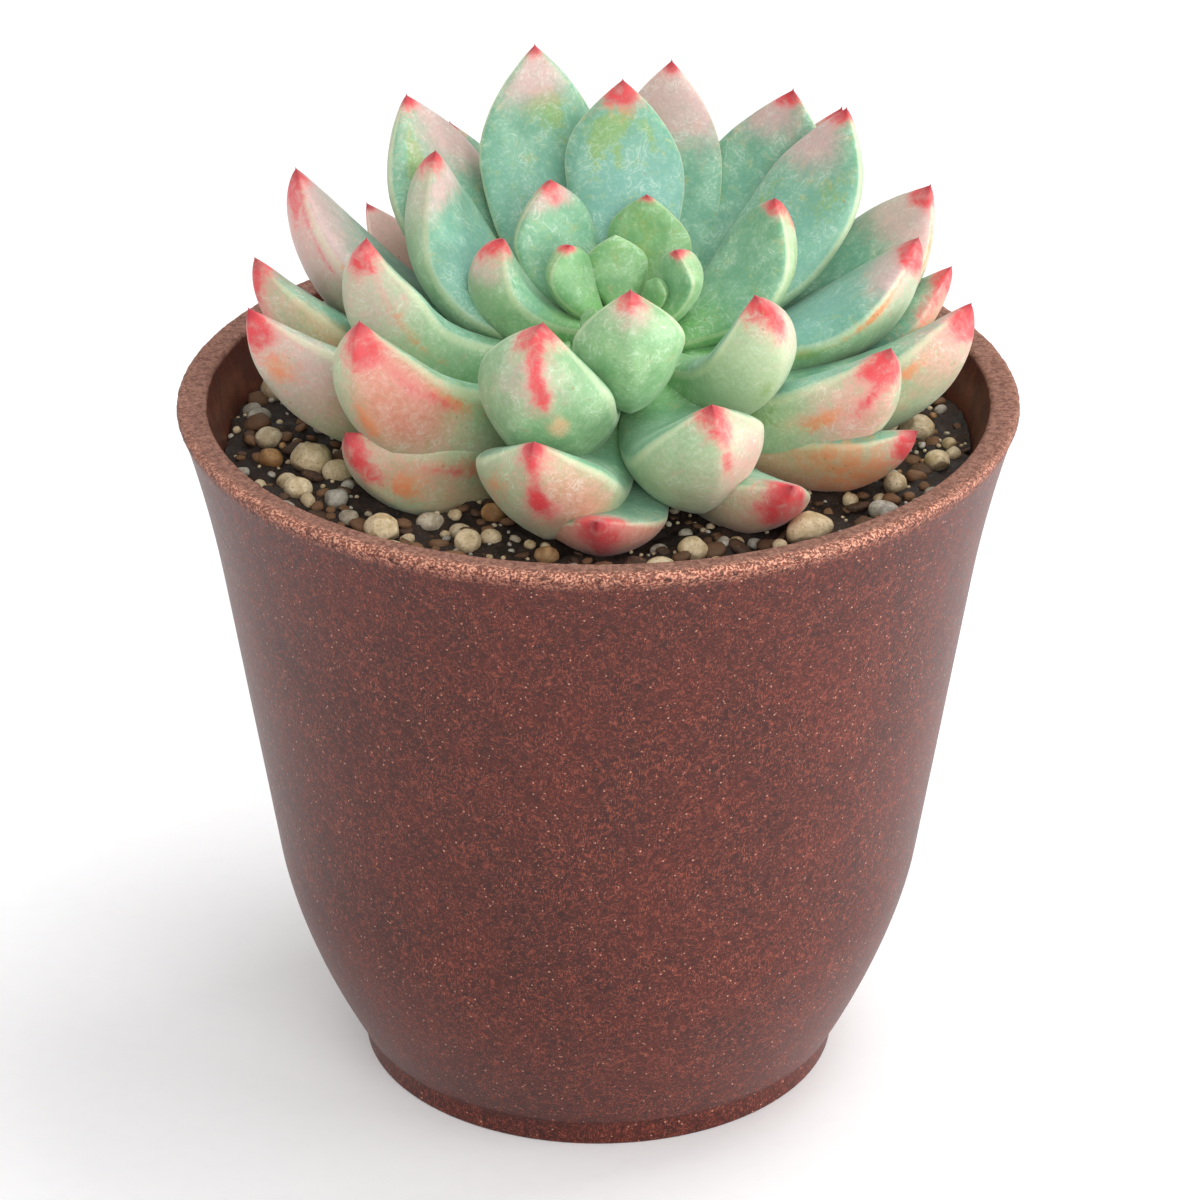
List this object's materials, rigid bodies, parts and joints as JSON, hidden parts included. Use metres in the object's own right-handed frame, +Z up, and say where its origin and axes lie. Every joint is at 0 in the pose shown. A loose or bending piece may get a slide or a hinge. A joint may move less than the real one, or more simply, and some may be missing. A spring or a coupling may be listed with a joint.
{
  "type": "potted succulent",
  "caption": "Rosette succulent with thick, red-tipped blue-green leaves in a tapered speckled reddish-brown pot, on dark soil dressed with pebbles.",
  "frame": {"origin": "middle of the pot's foot, on the surface it stands on", "axes": "+Z up along the pot's axis; -Y towards the front, the side the rosette leans to; +X to the right"},
  "size_m": [0.1, 0.1, 0.1207],
  "materials": {
    "pot": "satin reddish-brown fibre composite with lighter specks, rough pinkish rim",
    "soil": "dark crumbly bark and peat mix with fine grit",
    "stem": "matt green to woody stem",
    "leaf_inner": "fresh green, waxy, thin powdery bloom",
    "leaf_middle": "blue-green with powdery bloom, pale underside, red tip",
    "leaf_outer": "pale green underside with pink, orange and red blush towards the tip",
    "pebble": "matt beige and tan river pebble"
  },
  "bodies": {
    "root": {"pot": "pot", "soil": "soil", "stem": "stem", "leaf_01": "leaf_inner", "leaf_02": "leaf_inner", "leaf_03": "leaf_inner", "leaf_04": "leaf_inner", "leaf_05": "leaf_inner", "leaf_06": "leaf_middle", "leaf_07": "leaf_middle", "leaf_08": "leaf_middle", "leaf_09": "leaf_middle", "leaf_10": "leaf_middle", "leaf_11": "leaf_middle", "leaf_12": "leaf_middle", "leaf_13": "leaf_middle", "leaf_14": "leaf_middle", "leaf_15": "leaf_middle", "leaf_16": "leaf_middle", "leaf_17": "leaf_middle", "leaf_18": "leaf_middle", "leaf_19": "leaf_middle", "leaf_20": "leaf_middle", "leaf_21": "leaf_middle", "leaf_22": "leaf_middle", "leaf_23": "leaf_middle", "leaf_24": "leaf_middle", "leaf_25": "leaf_outer", "leaf_26": "leaf_outer", "leaf_27": "leaf_outer", "leaf_28": "leaf_outer", "leaf_29": "leaf_outer", "leaf_30": "leaf_outer", "leaf_31": "leaf_outer", "leaf_32": "leaf_outer", "leaf_33": "leaf_outer", "leaf_34": "leaf_outer", "leaf_35": "leaf_outer", "leaf_36": "leaf_outer", "leaf_37": "leaf_outer", "leaf_38": "leaf_outer", "leaf_39": "leaf_outer", "leaf_40": "leaf_outer", "leaf_41": "leaf_outer", "leaf_42": "leaf_outer", "leaf_43": "leaf_outer", "leaf_44": "leaf_outer", "pebble_01": "pebble", "pebble_02": "pebble", "pebble_03": "pebble", "pebble_04": "pebble", "pebble_05": "pebble", "pebble_06": "pebble", "pebble_07": "pebble", "pebble_08": "pebble", "pebble_09": "pebble", "pebble_10": "pebble", "pebble_11": "pebble", "pebble_12": "pebble"}
  },
  "joints": []
}
